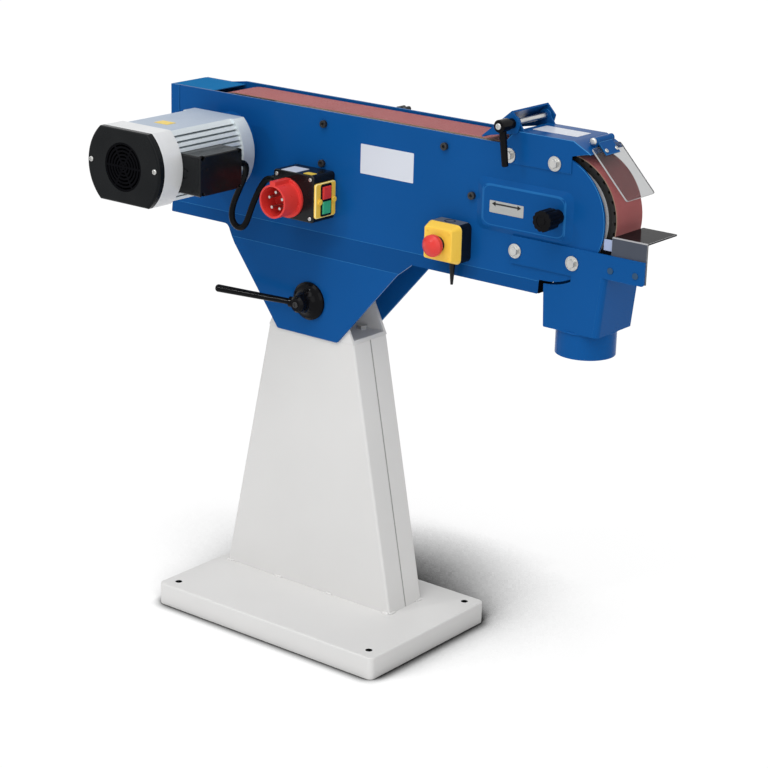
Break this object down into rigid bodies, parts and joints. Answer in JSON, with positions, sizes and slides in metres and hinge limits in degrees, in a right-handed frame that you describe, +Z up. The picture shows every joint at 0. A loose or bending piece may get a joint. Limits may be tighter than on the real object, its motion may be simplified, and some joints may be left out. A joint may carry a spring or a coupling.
{
  "type": "belt sanding machine",
  "caption": "Belt grinding and sanding machine: a tilting sheet-metal arm with a motor, contact wheel, work stop, visor, dust hood and emergency stop on a tapered pedestal",
  "frame": {"origin": "centre of the base's anchor hole pattern, on the floor plane", "axes": "+X towards the contact wheel and the work rest, -Y towards the motor and the switches, +Z up"},
  "size_m": [1.0125, 0.4367, 0.983],
  "materials": {
    "blue_paint": "satin",
    "grey_paint": "satin",
    "black_paint": "satin",
    "cast_aluminium": "satin",
    "machined_aluminium": "polished",
    "zinc_steel": "satin",
    "dark_steel": "satin",
    "black_plastic": "matte",
    "yellow_plastic": "satin",
    "red_plastic": "satin",
    "green_plastic": "satin",
    "abrasive": "matte",
    "tyre_rubber": "matte",
    "cable_rubber": "satin",
    "clear_sheet": "gloss"
  },
  "bodies": {
    "stand": {"base_tray": "grey_paint", "column_front_half": "grey_paint", "column_rear_half": "grey_paint", "saddle": "grey_paint", "saddle_bolts": "zinc_steel"},
    "arm": {"pivot_bolt": "zinc_steel", "front_panel": "blue_paint", "rear_frame": "blue_paint", "end_cap": "blue_paint", "hinge_frame_leaves": "zinc_steel", "platen_bracket": "black_paint", "platen": "zinc_steel", "cross_stay": "zinc_steel", "motor_flange": "cast_aluminium", "motor_housing": "cast_aluminium", "fan_ring": "cast_aluminium", "fan_cover": "black_plastic", "motor_bearings": "zinc_steel", "terminal_box": "black_plastic", "terminal_lid": "black_plastic", "cable_glands": "black_plastic", "motor_cable": "cable_rubber", "abrasive_belt": "abrasive", "spring_housing": "black_paint", "top_guard": "blue_paint", "stop_rod": "zinc_steel", "visor_pin": "zinc_steel", "dust_hood": "blue_paint", "rest_screws": "zinc_steel", "switch_box": "black_plastic", "switch_plate": "yellow_plastic", "inlet": "red_plastic", "inlet_pins": "zinc_steel", "estop_base": "black_plastic", "estop_lid": "yellow_plastic", "estop_collar": "black_plastic", "cover_bolts": "zinc_steel", "socket_screws": "dark_steel"},
    "tilt_lever": {"tilt_hub": "black_plastic", "tilt_lever_rod": "black_plastic"},
    "drive": {"rotor_shaft": "zinc_steel", "cooling_fan": "black_plastic", "drive_wheel": "machined_aluminium"},
    "carriage": {"tension_carriage": "zinc_steel", "stub_axle": "zinc_steel"},
    "contact_wheel": {"contact_hub": "machined_aluminium", "contact_tyre": "tyre_rubber", "contact_bearings": "zinc_steel"},
    "tracking_knob": {"tracking_knob": "black_plastic"},
    "work_stop": {"work_stop": "blue_paint"},
    "stop_lever": {"stop_lever": "black_plastic"},
    "visor": {"visor": "clear_sheet", "visor_bracket": "blue_paint"},
    "work_rest": {"work_rest": "black_paint"},
    "rear_door": {"rear_door": "blue_paint", "hinge_door_leaves": "zinc_steel"},
    "door_knob": {"door_knob": "black_plastic"},
    "stop_button": {"stop_button": "red_plastic"},
    "start_button": {"start_button": "green_plastic"},
    "mushroom": {"mushroom": "red_plastic"}
  },
  "joints": [
    {"name": "arm_tilt", "type": "hinge", "parent": "stand", "child": "arm", "pos_m": [-0.035, 0.0485, 0.587], "axis": [0, -1, 0], "range_deg": [0, 65]},
    {"name": "tilt_clamp", "type": "hinge", "parent": "arm", "child": "tilt_lever", "pos_m": [-0.035, -0.02, 0.587], "axis": [0, 1, 0], "range_deg": [-30, 30]},
    {"name": "drive_spin", "type": "hinge", "parent": "arm", "child": "drive", "pos_m": [-0.22452, 0.0485, 0.8386], "axis": [0, 1, 0], "continuous": true},
    {"name": "belt_tension", "type": "slide", "parent": "arm", "child": "carriage", "axis": [1, 0, 0], "range_m": [-0.01, 0], "stiffness_N_per_m": 3000, "springref_m": 0.02},
    {"name": "contact_spin", "type": "hinge", "parent": "carriage", "child": "contact_wheel", "pos_m": [0.4763, 0.0485, 0.8266], "axis": [0, 1, 0], "continuous": true},
    {"name": "tracking_turn", "type": "hinge", "parent": "arm", "child": "tracking_knob", "pos_m": [0.4763, -0.02, 0.8266], "axis": [0, 1, 0], "range_deg": [-360, 360]},
    {"name": "stop_swing", "type": "hinge", "parent": "arm", "child": "work_stop", "pos_m": [0.38, 0.0485, 0.963], "axis": [0, 1, 0], "range_deg": [0, 75]},
    {"name": "stop_clamp", "type": "hinge", "parent": "arm", "child": "stop_lever", "pos_m": [0.38, -0.02, 0.963], "axis": [0, 1, 0], "range_deg": [-30, 60]},
    {"name": "visor_swing", "type": "hinge", "parent": "arm", "child": "visor", "pos_m": [0.519, 0.0485, 0.9505], "axis": [0, 1, 0], "range_deg": [-70, 0]},
    {"name": "rest_slide", "type": "slide", "parent": "arm", "child": "work_rest", "axis": [1, 0, 0], "range_m": [0, 0.014]},
    {"name": "door_swing", "type": "hinge", "parent": "arm", "child": "rear_door", "pos_m": [0, 0.0998, 0.721], "axis": [-1, 0, 0], "range_deg": [0, 110]},
    {"name": "door_knob_turn", "type": "hinge", "parent": "rear_door", "child": "door_knob", "pos_m": [0.0735, 0.11, 0.919], "axis": [0, 1, 0], "range_deg": [-360, 360]},
    {"name": "stop_press", "type": "slide", "parent": "arm", "child": "stop_button", "axis": [-1, 0, 0], "range_m": [0, 0.003], "stiffness_N_per_m": 800, "springref_m": -0.002},
    {"name": "start_press", "type": "slide", "parent": "arm", "child": "start_button", "axis": [-1, 0, 0], "range_m": [0, 0.003], "stiffness_N_per_m": 800, "springref_m": -0.002},
    {"name": "estop_press", "type": "slide", "parent": "arm", "child": "mushroom", "axis": [0, 1, 0], "range_m": [0, 0.004], "stiffness_N_per_m": 1500, "springref_m": -0.003}
  ],
  "couplings": [
    {"joint": "contact_spin", "follows": "drive_spin", "ratio": 0.88}
  ]
}
